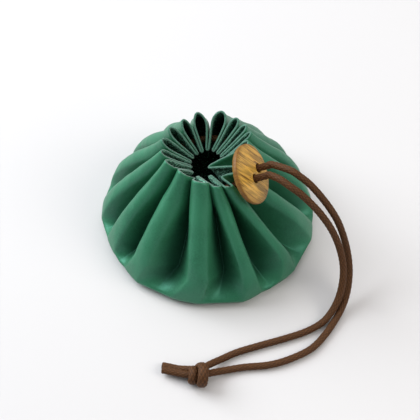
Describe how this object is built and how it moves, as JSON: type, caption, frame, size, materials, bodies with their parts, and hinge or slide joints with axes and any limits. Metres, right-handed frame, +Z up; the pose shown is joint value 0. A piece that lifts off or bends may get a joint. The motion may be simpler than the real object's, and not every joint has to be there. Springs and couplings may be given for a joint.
{
  "type": "kinchaku drawstring pouch",
  "caption": "round leather pouch gathered into deep pleats on a cord, closed by a wooden stopper button that slides on the two cord ends, which meet in a knot",
  "frame": {"origin": "middle of the flat base, on the surface that the pouch stands on", "axes": "+Z up through the neck; -Y towards the front, where the knot lies; +X towards the wooden button"},
  "size_m": [0.1199, 0.1451, 0.0673],
  "materials": {
    "leather": "smooth green outer face, dark suede inner face",
    "wood": "oiled light wood with dark streaks",
    "cord": "round braided waxed cord"
  },
  "bodies": {
    "pouch": {"pouch_body": "leather", "cord_neck": "cord", "cord_strand_upper": "cord", "cord_strand_lower": "cord", "cord_knot": "cord", "cord_tail_front": "cord", "cord_tail_back": "cord"},
    "button": {"wood_button": "wood"}
  },
  "joints": [
    {"name": "button_slide", "type": "slide", "parent": "pouch", "child": "button", "axis": [0.8259, -0.1456, 0.5446], "range_m": [0, 0.007]}
  ]
}
